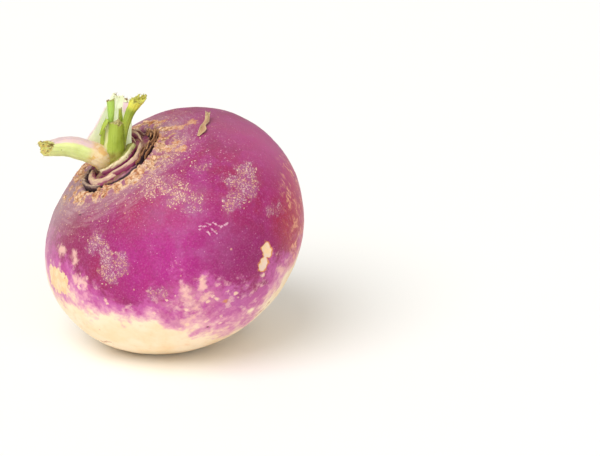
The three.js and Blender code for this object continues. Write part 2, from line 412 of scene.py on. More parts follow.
def scattered_dots(given):
    """One dot to a cell. A lot drawn for the cell says whether it is there and how big it is."""
    group = given["Place"].id_data
    scale = work("DIVIDE", 1.0, given["Spacing"])
    cells = add(group, "ShaderNodeTexVoronoi", {"Vector": given["Place"], "Scale": scale})
    lot = add(group, "ShaderNodeSeparateColor", {0: cells.outputs["Color"]})
    bumps = {"Vector": given["Place"], "Scale": times(scale, DOT_BUMPS)}
    bite = times(minus(add(group, NOISE, bumps).outputs["Fac"], 0.5), given["Size"], DOT_BITE)
    away = plus(times(cells.outputs["Distance"], given["Spacing"]), bite)
    reach = times(given["Size"], plus(lot.outputs[1], DOT_SMALLEST))
    there = work("LESS_THAN", lot.outputs[0], given["Share"])
    return times(fade(away, reach, times(reach, DOT_EDGE)), there)


def ragged_stroke(given):
    """1 near the line between two places, with an edge that is bitten into."""
    run = arrows("SUBTRACT", given["To"], given["From"])
    here = arrows("SUBTRACT", given["Place"], given["From"])
    length = either(arrows("DOT_PRODUCT", run, run, output="Value"), 0.0001)
    share = work("DIVIDE", arrows("DOT_PRODUCT", here, run, output="Value"), length, clamp=True)
    foot = arrows("SCALE", run, Scale=share)
    bite = times(minus(given["Edge"], 0.5), given["Raggedness"], 2.0)
    away = plus(arrows("DISTANCE", here, foot, output="Value"), bite)
    return fade(away, given["Reach"], minus(given["Reach"], given["Softness"]))


cloud_group = mask_group("cloud", ["Place"], {"Size": 10, "Low": 0.4, "High": 0.6, "Detail": 4}, soft_cloud)
speck_group = mask_group("specks", ["Place"], {"Spacing": 1.5, "Size": 0.3, "Share": 0.5}, scattered_dots)
patch_group = mask_group("patch", ["Place", "From", "To"],
                         {"Reach": 3, "Raggedness": 1, "Edge": 0.5, "Softness": 0.5}, ragged_stroke)


print("node groups:", [group.name for group in bpy.data.node_groups])


# %% Using the groups in a finish
def use(group, **inputs):
    """A node group's mask with its inputs set."""
    node = inputs["Place"].id_data.nodes.new("ShaderNodeGroup")
    node.node_tree = group
    return fill(node, inputs).outputs["Mask"]


def clouds(place, size, low, high, detail=4.0):
    """A mask of soft clouds, size across."""
    return use(cloud_group, Place=place, Size=size, Low=low, High=high, Detail=detail)


def dots(place, spacing, size, share):
    """A mask of dots of about this size, one to every spacing. Share is how many of them are there."""
    return use(speck_group, Place=place, Spacing=spacing, Size=size, Share=share)


def field(tree, name):
    """A number that the mesh carries, as a socket."""
    return add(tree, "ShaderNodeAttribute", attribute_name=name).outputs["Fac"]


def new_finish(name):
    """A material whose shader is ready, and the place on the root in millimetres."""
    finish = bpy.data.materials.new(name)
    finish.use_nodes = True
    tree = finish.node_tree
    shader = tree.nodes["Principled BSDF"]
    place = {"Vector": add(tree, "ShaderNodeTexCoord").outputs["Object"], "Location": MIDDLE * MM,
             "Rotation": laid_down.to_euler(), "Scale": (MM, MM, MM)}
    return finish, tree, shader, add(tree, "ShaderNodeMapping", place, vector_type="TEXTURE").outputs[0]

# %% [markdown]
# ## The skin of the root
#
# The skin is one fine net of rings, closest together at the crown, where the folds are narrow. The
# smooth shape is the CAD's own. On top of it comes what growing leaves behind: a lumpy corky rim, a
# torn groove inside it, shallow wrinkles round the shoulder, a sunken scar, and the dents of the
# belly.

# %% Where the purple ends
# The purple is the part that stood in the light. Two edges are named by how far from the crown they
# lie (degrees) at each longitude: where the deep magenta ends, and where the cream begins. Between
# them the skin is lilac. They are close together on one side and far apart on the other.
MAGENTA_ENDS = {-10: 42, 0: 47, 20: 54, 27: 56, 33: 59, 40: 70, 46: 79, 52: 85, 60: 84, 75: 85, 84: 88,
                89: 95, 92: 107, 97: 115, 103: 111, 110: 108, 120: 110, 130: 115, 142: 114, 155: 102,
                170: 94, 190: 92, 215: 85, 240: 77, 270: 66, 300: 56, 330: 45}
CREAM_BEGINS = {-10: 66, 0: 73, 10: 77, 24: 76, 32: 82, 45: 88, 52: 93, 57: 103, 62: 117, 70: 130, 80: 138,
                87: 139, 95: 133, 103: 127, 115: 125, 130: 128, 145: 130, 160: 124, 175: 118, 190: 111,
                215: 97, 240: 90, 270: 80, 300: 71, 330: 64}
BLENDED = (-5, -2.5, 0, 2.5, 5)  # degrees of longitude over which the two edges are evened out


def all_round(turns, places, values):
    """Values given at a few places all round, read in between. Both are in degrees."""
    return np.interp(turns, list(places), list(values), period=360)


def pigment_depth(longitude, colatitude):
    """Below 0 in the cream, from 0 to 1 in the lilac, above 1 in the magenta."""
    depths = []
    for shift in BLENDED:
        at = (np.degrees(longitude) + shift) % 360
        ends, begins = (all_round(at, edge, edge.values()) for edge in (MAGENTA_ENDS, CREAM_BEGINS))
        depths.append((begins - np.degrees(colatitude)) / (begins - ends))
    return np.mean(depths, axis=0)


print("the magenta reaches", max(MAGENTA_ENDS.values()), "degrees from the crown, the lilac",
      max(CREAM_BEGINS.values()))

# %% Marks that the skin carries
# Each mark is (colatitude, longitude) in degrees, or two of these for a stroke from one to the other.
MARKS = {
    "corky": [(48, 42, 47, 46), (53, 49, 59, 50), (62, 46, 66, 48), (60, 56, 63, 55),
              (70, 111, 71, 118), (64, 120, 68, 122), (66, 128, 68, 131), (73, 121, 72, 126)],
    "faint": [(48, 118, 49, 122), (88, 122, 92, 126), (58, 96, 60, 100), (82, 62, 84, 66)],
    "crusted": [(27, 130, 30, 137), (33, 129, 35, 131), (21, 144, 22, 150), (25, 168, 31, 161),
                (36, 163, 36, 167)],
    "broad_mottles": [(49, 12, 49, 16), (50, 26, 54, 27), (62, 25, 65, 31), (88, 74, 93, 73),
                      (89, 82, 93, 80), (104, 68, 106, 64), (100, 72, 98, 80), (116, 112, 121, 114),
                      (121, 113, 122, 115), (126, 100, 127, 106)],
    "small_mottles": [(67, 27), (63, 34), (98, 69), (111, 72), (114, 78), (118, 75), (100, 81), (107, 60),
                      (95, 138), (109, 137), (92, 57), (121, 68), (90, 47), (76, 40), (110, 103), (103, 87),
                      (96, 85)],
    "cream_patch": [(64, 3, 65, 14)],
}
print("marks:", {name: len(places) for name, places in MARKS.items()})

# %% Where the crust, the sand and the scar lie
SCAR = [(99.5, 110), (102, 109.5), (104.5, 106), (105.5, 104.5)]  # colatitude, longitude
# The corky crust at each longitude: its radius and its width.
CRUST = {-60: (20.5, 5.4), -30: (18.4, 5.4), -8: (17.0, 4.6), 20: (15.9, 3.2), 60: (15.8, 2.5),
         90: (17.6, 2.5), 118: (18.4, 3.6), 145: (17.5, 3.6), 175: (18.0, 3.2), 240: (17.6, 1.8)}
# Strokes where sand has stuck: colatitude and longitude of both ends, and the reach.
SAND = [(24, 96, 32, 100, 4.0), (34, 88, 40, 92, 3.0), (40, 97, 48, 98, 4.6), (44, 103, 44, 103, 3.0),
        (23, 110, 29, 120, 5.0), (26, 128, 33, 133, 4.0), (22, 150, 25, 176, 4.0), (24, 70, 26, 88, 3.0),
        (51, 99, 57, 104, 2.6)]
# How far from the axis each thing is nothing, and how far it is full, in millimetres.
GROOVE_INSIDE, GROOVE_OUTSIDE = (12.6, 13.4), (15.1, 14.4)
FLOOR = (13.5, 12.0)
WRINKLES_OUTSIDE, WRINKLES_INSIDE = (40, 22), (16, 19)
DUST_OUTSIDE, DUST_INSIDE = (36, 18), (15.5, 17)
SAND_INSIDE = (15, 16.5)
TAIL_TIP = (math.radians(171), math.radians(174))  # the same, but as colatitudes
print("crust at", len(CRUST), "longitudes, strokes of sand:", len(SAND))

# %% Distances on the skin
AWAY = 20.0  # millimetres past which nothing is measured
SAND_SPREAD = 1.6  # how far a stroke of sand thins out, as a share of its reach


def near(points, places, reach):
    """1 at the named places of the skin, fading to 0 within reach."""
    spots = [np.array(on_skin(*place)) for place in places]
    away = np.min([np.linalg.norm(points - spot, axis=-1) for spot in spots], axis=0)
    return ramp(away, reach, 0.0)


def along(points, strokes):
    """1 on broad strokes over the skin, each (colatitude, longitude, colatitude, longitude, reach)."""
    most = np.zeros(points.shape[:-1])
    for stroke in strokes:
        steps = np.linspace(stroke[:2], stroke[2:4], 7)
        most = np.maximum(most, near(points, steps, stroke[4] * SAND_SPREAD))
    return most


def away_from(points, strokes):
    """The distance in millimetres to the nearest stroke."""
    nearest = np.full(points.shape[:-1], AWAY)
    for stroke in strokes:
        start, end = np.array(on_skin(*stroke[:2])), np.array(on_skin(*stroke[-2:]))
        run = end - start
        share = np.clip((points - start) @ run / max(run @ run, 1e-6), 0, 1)
        nearest = np.minimum(nearest, np.linalg.norm(points - start - share[..., None] * run, axis=-1))
    return nearest


# %% The net of the skin
ROOT_SLICES = 512
RING_STEPS = [(0.6, 31.0, 84), (31.9, 172.0, 98), (172.6, 179.6, 12)]  # degrees from, to, rings
BROAD, FINE, GRIT = (17, 0.3), (3.2, 0.07), (1.3, 0.02)  # size and height of three kinds of bumps
GROOVE_DEPTH, SCAR_DEPTH, WRINKLE_HEIGHT = 0.8, 0.4, 0.05  # millimetres


def root_rings():
    """Rings of the skin in the world, and the numbers that the finish reads."""
    falls = np.radians(np.concatenate([np.linspace(*step) for step in RING_STEPS]))
    turns, falls = np.meshgrid(full_turn(ROOT_SLICES), falls)
    points = skin(turns, falls)
    away = ROOT_RADIUS * np.sin(falls)
    top = falls < np.pi / 2
    outward = points / np.array([ROOT_RADIUS, ROOT_RADIUS, MEAN_HEIGHT]) ** 2
    outward /= np.linalg.norm(outward, axis=-1, keepdims=True)

    broad = rough(points, BROAD[0], 1, 2)
    fine = rough(points, FINE[0], 2, 3)
    grit = rough(points, GRIT[0], 3, 3)
    wander = rough(pole(12, turns, away) * [0.35, 0.35, 0.0], 2.0, 4, 3)

    def towards(longitude, nothing, full):
        """1 on the side of the root that faces this longitude."""
        return ramp(np.cos(turns - np.radians(longitude)), nothing, full)

    middle, width = (all_round(np.degrees(turns), CRUST, column) for column in zip(*CRUST.values()))
    crust = np.exp(-(((away + 0.7 * wander - middle) / width) ** 2))
    crust = top * crust * (0.8 + 0.2 * towards(82, -0.1, 0.75))
    thicker = 0.35 * towards(-20, 0.7, 1.0)
    crust = np.clip(crust * (0.6 + thicker + 1.1 * grit + 1.8 * fine + 0.9 * broad), 0, 1)
    wavy = away + 0.6 * wander
    gap = top * ramp(wavy, *GROOVE_INSIDE) * ramp(wavy + 1.3 * towards(62, 0.55, 0.9), *GROOVE_OUTSIDE)
    sand = along(points, SAND) * np.clip(0.7 + 0.9 * fine, 0, 1)
    floor = top * ramp(away, *FLOOR)
    wrinkle = np.sin(2.2 * away + 3 * wander + 2 * fine)
    wrinkle = wrinkle * ramp(away, *WRINKLES_OUTSIDE) * ramp(away, *WRINKLES_INSIDE)
    scar = near(points, SCAR, 2.6 + 0.9 * grit)

    height = BROAD[1] * broad + FINE[1] * fine + GRIT[1] * grit
    height = height + crust * (0.3 + 0.5 * np.abs(grit)) - GROOVE_DEPTH * gap
    height = height + floor * (0.4 * fine + 0.2 * grit)
    height = height + WRINKLE_HEIGHT * top * wrinkle - SCAR_DEPTH * ramp(scar, 0.1, 0.6)
    world = laid(points + outward * height[..., None])
    world[..., 2] = np.maximum(world[..., 2], 0)

    fields = {name: away_from(points, strokes) for name, strokes in MARKS.items()}
    dusted = top * ramp(away, *DUST_OUTSIDE) * ramp(away, *DUST_INSIDE)
    sandy = np.clip(ramp(sand, 0.05, 0.8) + 0.12 * dusted, 0, 1) * ramp(away, *SAND_INSIDE)
    fields |= {"pigment": np.clip(pigment_depth(turns, falls), -3, 5), "crust": crust, "gap": gap,
               "floor": floor, "crumbs": crust * ramp(crust, 0.3, 0.7), "sand": np.clip(sand, 0, 1),
               "sandy": np.maximum(sandy, 0.3 * ramp(fields["corky"] + 1.5 * fine, 3.8, 1.5)),
               "tail": ramp(falls, *TAIL_TIP), "scar": scar,
               "from_crown": away * np.where(top, 1, 0) + np.where(top, 0, 100)}
    return world, fields


root_world, root_fields = root_rings()
root_mesh = rings_to_mesh("skin_root", [(root_world, root_fields)])
print("root net:", root_world.shape[:2], "lowest z, mm:", root_world[..., 2].min().round(2))

# %% [markdown]
# ## The colours of the skin
#
# The finish is laid down as a grower would describe it: first the cream flesh, then a thin lilac
# flush, the deep magenta where the light was strongest, and a grey weathered shoulder near the crown.
# Over that come corky specks, scuffs and crust. Each layer is one mask and one colour, so any layer
# can be found and changed alone.

# %% Skin finish: tools
skin_finish, tree, shader, place = new_finish("turnip_skin")
from_crown = field(tree, "from_crown")
cloud, specks = partial(clouds, place), partial(dots, place)


def uneven(grain):
    """Fine uneven noise that frays an edge."""
    edge = {"Vector": place, "Scale": 1 / grain, "Detail": 5.0, "Roughness": 0.65}
    return add(tree, NOISE, edge).outputs["Fac"]


def marks(name, reach, raggedness, grain, softness):
    """The marks of one name, as ragged patches."""
    bite = times(minus(uneven(grain), 0.5), 2 * raggedness)
    return fade(plus(field(tree, name), bite), reach, reach - softness)


def strokes(places, reach, raggedness, grain, softness):
    """Fine strokes, too thin for the net of the skin to carry."""
    settings = {"Reach": reach, "Raggedness": raggedness, "Edge": uneven(grain), "Softness": softness}
    ends = [(on_skin(*spot[:2]), on_skin(*spot[-2:])) for spot in places]
    return either(*(use(patch_group, Place=place, From=start, To=end, **settings) for start, end in ends))


def around(colatitude, longitude, reach):
    """A soft round patch about one place."""
    spot = on_skin(colatitude, longitude)
    return use(patch_group, Place=place, From=spot, To=spot, Reach=reach, Raggedness=0.0, Softness=reach)


def lay(mask, over, strength=1.0):
    """Put the next layer on the skin's colour."""
    global colour
    colour = coat(times(mask, strength), colour, over)


# %% Skin finish: cream, lilac and magenta
# The three sizes of mist make the edge between the colours drift.
pigment = field(tree, "pigment")
for size, strength in ((10.0, 0.85), (3.6, 0.6), (1.2, 0.25)):
    drift = {"Vector": place, "Scale": 1 / size, "Detail": 3.0, "Roughness": 0.6}
    mist = minus(add(tree, NOISE, drift).outputs["Fac"], 0.5)
    pigment = plus(pigment, times(mist, 2 * strength))
colour = coat(cloud(12, 0.4, 0.66), "#fae5c6", "#f6dab0")
lay(cloud(3, 0.55, 0.75), "#efc39a", 0.35)
lay(fade(pigment, -0.35, 0.25), coat(cloud(6, 0.35, 0.65), "#e3a0b4", "#d686b0"))
lay(fade(pigment, 0.12, 0.65), coat(cloud(4, 0.35, 0.65), "#b9478f", "#c25c9f"))
magenta = coat(cloud(14, 0.38, 0.62), "#941c60", "#9a244e")
for mask, shape, strength, tint in (
        (cloud, (5, 0.42, 0.66), 0.7, "#a1307a"), (cloud, (7, 0.5, 0.68), 0.7, "#7d1b45"),
        (around, (78, 76, 34), 0.9, "#ac2080"), (around, (40, 24, 24), 0.7, "#8c2a50"),
        (around, (103, 130, 19), 0.95, "#ab2440"), (around, (91, 99, 22), 0.75, "#8a1a5c"),
        (around, (42, 76, 15), 0.5, "#a02853")):
    magenta = coat(times(mask(*shape), strength), magenta, tint)
lay(times(around(112, 91, 13), fade(pigment, 0.1, 0.6)), "#b861a0", 0.7)
lay(times(around(124, 96, 17), fade(pigment, -0.3, 0.3), cloud(5, 0.25, 0.5)), "#bd5594", 0.7)
lay(fade(pigment, 0.68, 1.3), magenta)
in_purple = fade(pigment, 0.4, 1.2)
lay(times(cloud(0.55, 0.45, 0.75), in_purple), "#bb5f93", 0.5)
lay(times(cloud(0.9, 0.45, 0.7), in_purple), "#7a1f4a", 0.35)

# %% Skin finish: the weathered shoulder and a painted sheen
lay(times(around(66, 92, 26), cloud(7, 0.42, 0.7), in_purple), "#b0659a", 0.45)
# Lighter and greyer over the upper right shoulder: weathered grey with a painted sheen over it.
lay(times(around(54, 162, 34), cloud(9, 0.15, 0.5), in_purple), "#a5587c", 0.6)
# A lighter pink on the right side: a painted sheen.
lay(times(around(80, 155, 26), in_purple), "#c0588f", 0.75)
lay(times(fade(from_crown, 31, 18), cloud(6, 0.2, 0.6)), "#a67c88", 0.75)
lay(times(around(33, -25, 26), cloud(9, 0.1, 0.45)), "#a98a8e", 0.85)
x, y, _ = add(tree, "ShaderNodeSeparateXYZ", {0: place}).outputs
spread = arrows("SCALE", arrows("NORMALIZE", joined(x, y)), Scale=7.0)
ring_place = arrows("ADD", spread, joined(0.0, 0.0, times(from_crown, 1.6)))
line_mask = times(clouds(ring_place, 1.5, 0.48, 0.66), fade(from_crown, 36, 20))
lay(line_mask, "#cdaaa8", 0.38)
lay(times(specks(0.75, 0.24, 0.8), fade(from_crown, 42, 22)), "#d0a8a0", 0.42)
print("skin finish: pigment laid")

# %% Skin finish: specks and corky patches
lay(times(specks(0.95, 0.17, 0.6), cloud(4, 0.35, 0.6), in_purple), "#dba5ba", 0.65)
sand_zone = field(tree, "sand")
sand = either(times(specks(0.7, 0.3, 0.95), fade(sand_zone, 0.1, 0.7)),
              times(specks(1.5, 0.34, 0.5), fade(from_crown, 38, 20)))
lay(times(sand_zone, cloud(3, 0.3, 0.6)), "#b58590", 0.6)
lay(sand, coat(cloud(1.6, 0.4, 0.6), "#d6a080", "#dcbaa8"), 0.75)
lay(times(specks(0.85, 0.24, 0.7), around(42, 130, 30), cloud(3, 0.35, 0.55)), "#dcaab4", 0.8)
lay(specks(3.4, 0.42, 0.2), "#dca58c", 0.7)
corky = either(marks("corky", 3.9, 4.5, 2.2, 3.0), times(marks("faint", 3.0, 5.0, 2.5, 2.6), 0.55))
corky_specks = times(either(specks(0.52, 0.32, 0.85), specks(1.3, 0.45, 0.3)), fade(corky, 0.15, 0.6))
lay(corky, "#a6678c", 0.6)
lay(corky_specks, coat(cloud(3, 0.4, 0.6), "#d9b5b4", "#d8a384"), 0.72)
lay(marks("crusted", 1.7, 3.6, 1.6, 0.7), coat(cloud(1.2, 0.35, 0.65), "#c07c50", "#dcae88"), 0.9)
print("skin finish: specks laid")

# %% Skin finish: mottles, scars and scuffs
lay(times(around(101, 70, 15), cloud(3.5, 0.35, 0.6)), "#eebcb8", 0.6)
lay(marks("broad_mottles", 2.3, 3.4, 2.0, 2.4), "#f1c4b2", 0.78)
lay(marks("small_mottles", 1.0, 2.0, 1.4, 0.9), "#f5d2b8", 0.8)
lay(marks("cream_patch", 4.3, 6.0, 2.2, 1.0), coat(cloud(2.5, 0.4, 0.6), "#f5d6ab", "#eec592"))
lay(times(around(63, 17, 5), specks(1.1, 0.4, 0.5)), "#b0604a", 0.7)
half_way = times(fade(pigment, 1.25, 0.85), fade(pigment, -0.4, 0.3))
lay(times(cloud(3.4, 0.54, 0.7), half_way), "#efc4bc", 0.6)
lay(times(specks(3.0, 0.8, 0.35), half_way), "#f2d0b0", 0.8)
edge_streaks = arrows("MULTIPLY", place, (1.0, 1.0, 0.6))
lay(times(fade(around(108, 152, 27), 0.25, 0.75), cloud(6, 0.2, 0.6)), "#c4486e", 0.7)
lay(times(around(115, 135, 20), cloud(5, 0.2, 0.65)), "#bf4a4c", 0.75)
yellowed = times(clouds(edge_streaks, 1.45, 0.49, 0.62), cloud(5, 0.36, 0.6))
lay(times(yellowed, fade(around(112, 147, 30), 0.15, 0.55)), "#f0b488", 0.88)
SCRATCHES = [(67, 95, 69, 97), (68, 98, 70, 99), (71, 96, 73, 96), (72, 98, 75, 98), (70, 100, 73, 101),
             (74, 101, 75, 104), (68, 94, 68, 95)]
lay(strokes(SCRATCHES, 0.34, 1.2, 0.8, 0.4), "#e0b6c2", 0.75)
lay(strokes([(107, 84)], 1.1, 1.4, 1.2, 0.7), "#d08a56", 0.85)
lay(strokes([(104, 16, 103, 22), (139, 92, 137, 103), (124, 121)], 0.8, 2.6, 1.2, 0.8), "#b8703c", 0.8)
lay(strokes([(31, 22, 31, 25), (96, 129)], 0.4, 0.4, 0.6, 0.3), "#4a2c38", 0.8)
lay(specks(11.0, 0.4, 0.35), "#5d3030", 0.9)
scar = plus(field(tree, "scar"), times(cloud(1.2, 0.35, 0.65), 0.1))
lay(fade(scar, 0.1, 0.2), "#d78a50")
lay(fade(scar, 0.26, 0.4), coat(cloud(2.0, 0.4, 0.6), "#f2cfa2", "#ecd0bc"))
print("skin finish: marks laid")

# %% Crust, groove and crown floor
crust = field(tree, "crust")
crust_colour = coat(cloud(3.0, 0.35, 0.62), "#cb8f64", "#e2c2a0")
crust_colour = coat(times(cloud(0.9, 0.45, 0.62), 0.75), crust_colour, "#8f4f34")
lay(times(fade(crust, 0.03, 0.2), specks(0.8, 0.4, 0.7)), "#dfb794", 0.8)
crust_colour = coat(times(cloud(1.8, 0.5, 0.66), 0.6), crust_colour, "#efd3bd")
crust_colour = coat(times(around(19, 145, 17), 0.6), crust_colour, "#a5764c")
lay(fade(crust, 0.14, 0.4), crust_colour)
# Near-black in the torn groove: painted shade.
lay(fade(field(tree, "gap"), 0.15, 0.6), "#2f1d26")
floor_colour = coat(cloud(2.2, 0.4, 0.6), "#8c6a50", "#7a2f50")
floor_colour = coat(fade(from_crown, 8, 6), floor_colour, "#9a9a4c")
lay(fade(field(tree, "floor"), 0.2, 0.8), floor_colour)
matt = either(fade(crust, 0.1, 0.4), corky_specks, sand)
roughness = plus(times(matt, 0.4), 0.44)
relief = plus(sand, corky_specks, times(cloud(0.6, 0.3, 0.7), 0.35), times(line_mask, 0.3))
dress(shader, colour, 0.6, relief, {
    "Roughness": roughness, "Specular IOR Level": 0.25, "Subsurface Weight": 0.06,
    "Subsurface Radius": (1.0, 0.5, 0.4), "Subsurface Scale": 0.002})
piece("skin_root", root_mesh, skin_finish, "skin", "root")

# %% [markdown]
# ## Old leaf bases
#
# Every leaf that died left a low lip round the crown, and the lips nest like the layers of a cut
# onion. The fresh ones are cream with a purple flush, and the outermost have dried to dark, curled
# skin. One function sweeps such a lip along part of a ring. Three of the bases have two thinner
# layers beside the main lip, because the folds between layers are what the eye reads.

# %% A lip that follows the crown
ROOTED = 2.2  # millimetres that a lip reaches down into the skin
LIP_STACKS, LIP_SLICES = 150, 28
LIP_END = 0.1  # the height and thickness of its two ends, as a share of the full ones
LIP_TAPER = 0.35  # how much thinner its upper edge is
LIP_SQUARENESS = 0.7
CREASE_SIZE = 1.3


def lip(radius, inturn, start, end, height, thick, flare, ragged, seed):
    """Rings of one lip and its fields. Lengths in millimetres, start and end in degrees."""
    share = np.linspace(0, 1, LIP_STACKS)[:, None]
    turn = full_turn(LIP_SLICES)
    longitude = np.radians(start + (end - start) * share)
    full = LIP_END + (1 - LIP_END) * np.sin(np.pi * np.clip(share, 0.002, 0.998)) ** 0.5
    around_crown = pole(10, longitude[:, 0], seed)
    wander = rough(around_crown, 5.0, seed, 2)[:, None]
    notch = rough(around_crown, 1.1, seed + 1, 4)[:, None]
    tall = height * full * (1 + ragged * (0.5 * wander + 0.75 * notch))
    rise = (np.sin(turn) + 1) / 2
    up = -ROOTED + (ROOTED + tall) * rise
    sides = np.sign(np.cos(turn)) * np.abs(np.cos(turn)) ** LIP_SQUARENESS
    taper = 1 - LIP_TAPER * rise**2
    middle = radius - inturn * np.cos(np.pi * share) ** 2 + 0.7 * wander
    curl = flare * np.maximum(up, 0) * full + ragged * 0.5 * notch * rise**3
    out = middle + curl + sides * thick / 2 * full * taper
    level = TOP_HEIGHT * np.sqrt(1 - (middle / ROOT_RADIUS) ** 2) - BASIN[0]
    points = pole(out, longitude, level + up)
    creases = rough(points * [1, 1, 0.25], CREASE_SIZE, seed + 2, 3)
    push = creases * sides * (0.05 + 0.3 * ragged) * (0.4 + rise)
    points = points + pole(1, longitude, 0) * push[..., None]
    run = np.radians(end - start) * radius * share
    return laid(points), {"rise": rise, "outside": sides + 0 * share, "run": run}


# %% The seven leaf bases
# radius, inturn, start, end, height, thick and flare of the main lip. Then the layers beside it:
# how much further out they stand (below 0 is further in), and their height and thickness as a share
# of the main lip's.
LEAF_BASES = {
    "leaf_base_inner": ((7.6, 0.7, 4, 168, 2.7, 2.6, 0.4), []),
    "leaf_base_front": ((11.2, 0.9, -36, 74, 1.5, 3.6, 0.1), []),
    "leaf_base_right": ((11.5, 1.9, 46, 158, 2.1, 2.9, 0.3), []),
    "leaf_base_back": ((10.8, 1.1, 168, 300, 2.3, 2.0, 0.3), [(-1.9, 0.9, 0.4), (1.8, 0.8, 0.4)]),
    "dry_base_left": ((13.4, 0.8, -56, 38, 1.3, 2.1, 0.2), []),
    "dry_base_right": ((14.4, 1.2, 100, 192, 3.0, 0.9, 0.6), [(-1.2, 0.8, 0.7), (1.1, 0.8, 0.7)]),
    "dry_base_back": ((13.8, 0.9, 204, 286, 2.3, 0.8, 0.3), [(-1.0, 0.9, 0.7), (0.9, 0.7, 0.7)]),
}


def leaf_base_mesh(name, main, layers, ragged, seed):
    """The main lip and the thinner layers beside it, each a little shorter than the last."""
    parts = [lip(*main, ragged, seed)]
    radius, inturn, start, end, height, thick, flare = main
    for number, (further, lower, thinner) in enumerate(layers, start=1):
        trim = 5 + 4 * number
        parts.append(lip(radius + further, inturn, start + trim, end - trim, height * lower,
                         thick * thinner, flare, ragged * 1.3, seed + 20 * number))
    return rings_to_mesh(name, parts)


print("leaf bases:", {name: 1 + len(layers) for name, (_, layers) in LEAF_BASES.items()})

# %% Finishes of the leaf bases
def base_finish(name, flesh, streak_and_shade_colour, flush, rim, flushed, roughness, greened=0.0):
    """Flesh in long streaks, with painted shade on the lower side of each lip and near-black painted shade at
    its foot, flushed in the folds, brown in spots, and drier along its upper edge.
    """
    finish, tree, shader, place = new_finish(name)
    rise, run = field(tree, "rise"), field(tree, "run")
    lengthwise = joined(times(run, 0.25), times(rise, 4.0), field(tree, "outside"))
    streak = clouds(lengthwise, 1.1, 0.4, 0.62)
    blot = clouds(lengthwise, 1.6, 0.54 - flushed / 4, 0.6 - flushed / 4, 3.0)
    low = times(fade(rise, 0.97, 0.84), blot)
    # Painted shade: the lower side of each lip takes the darker colour, and its foot goes near-black. The
    # same darker colour also streaks the flesh.
    colour = coats(
        flesh, (fade(rise, 0.85, 0.6), streak_and_shade_colour), (times(streak, 0.45), streak_and_shade_colour),
        (times(fade(run, 12, 18), greened), "#a9b455"),
        (times(clouds(lengthwise, 0.5, 0.5, 0.62), 0.5 * flushed + 0.15), flush), (times(low, 0.85), flush),
        (fade(rise, 0.76, 0.62), flush), (fade(rise, 0.62, 0.45), "#2b1620"),
        (times(clouds(place, 1.1, 0.45, 0.62), fade(rise, 0.93, 0.998)), rim),
        (times(dots(place, 1.1, 0.26, 0.45), 0.75), "#6a4530"))
    dress(shader, colour, 0.5, streak, {"Roughness": roughness})
    return finish


# %% Make the leaf bases
FRESH_RAGGED, DRY_RAGGED = 0.08, 0.6
inner_base = base_finish("inner_leaf_base", "#f0e8b8", "#d8c498", "#96306a", "#c4a476", 0.25, 0.42, 0.7)
fresh_base = base_finish("fresh_leaf_base", "#dcbf9e", "#b08474", "#8f2b60", "#c9a67e", 0.45, 0.5)
dry_base = base_finish("dry_leaf_base", "#b58257", "#6e4532", "#33202a", "#d8a878", 0.35, 0.8)
faded_base = base_finish("faded_leaf_base", "#a98f80", "#6d4a4a", "#3d1f2c", "#c4a888", 0.7, 0.7)
BASE_FINISHES = {"leaf": fresh_base, "dry": dry_base, "leaf_base_inner": inner_base,
                 "dry_base_left": faded_base}
for seed, (name, (main, layers)) in enumerate(LEAF_BASES.items(), start=1):
    dry = name.startswith("dry")
    mesh = leaf_base_mesh("folds_" + name, main, layers, DRY_RAGGED if dry else FRESH_RAGGED, 10 * seed)
    finish = BASE_FINISHES.get(name, BASE_FINISHES[name.split("_")[0]])
    piece("folds_" + name, mesh, finish, "dry_base" if dry else "leaf_base", name)

# %% [markdown]
# ## Broken leaf stalks
#
# A stalk is half a pipe: rounded outside, channelled on the side that faced the heart. When it is
# snapped off, the stringy rind tears and stands up round a wet hollow. So a stalk is swept along a
# smooth route, its rim is lifted by uneven tears, and the last rings turn down into the break.

# %% Smooth routes
def smooth_route(knots, shares):
    """A Catmull-Rom curve through the knots."""
    knots = np.asarray(knots, float)
    knots = knots.reshape(len(knots), -1)
    padded = np.vstack([2 * knots[0] - knots[1], knots, 2 * knots[-1] - knots[-2]])
    at = np.clip(shares, 0, 1) * (len(knots) - 1)
    span = np.minimum(at.astype(int), len(knots) - 2)
    t = (at - span)[:, None]
    a, b, c, d = (padded[span + i] for i in range(4))
    return 0.5 * (2 * b + (c - a) * t + (2 * a - 5 * b + 4 * c - d) * t**2 + (3 * b - a - 3 * c + d) * t**3)


def unit(vectors):
    """The same directions, one long."""
    return vectors / np.linalg.norm(vectors, axis=-1, keepdims=True)


# %% Rings of a stalk
BREAK = [(0.9, 0.1), (0.74, 0.55), (0.52, 0.95), (0.28, 1.0)]  # rings of the break: size, depth
RIBS = 14  # ribs round a stalk
DENT_DEPTH, DENT_SIZE = 0.13, 2.6  # millimetres
TEARS_FROM, TORN_FROM = 0.8, 0.95  # share of the way up where the tears begin, and where it is all torn


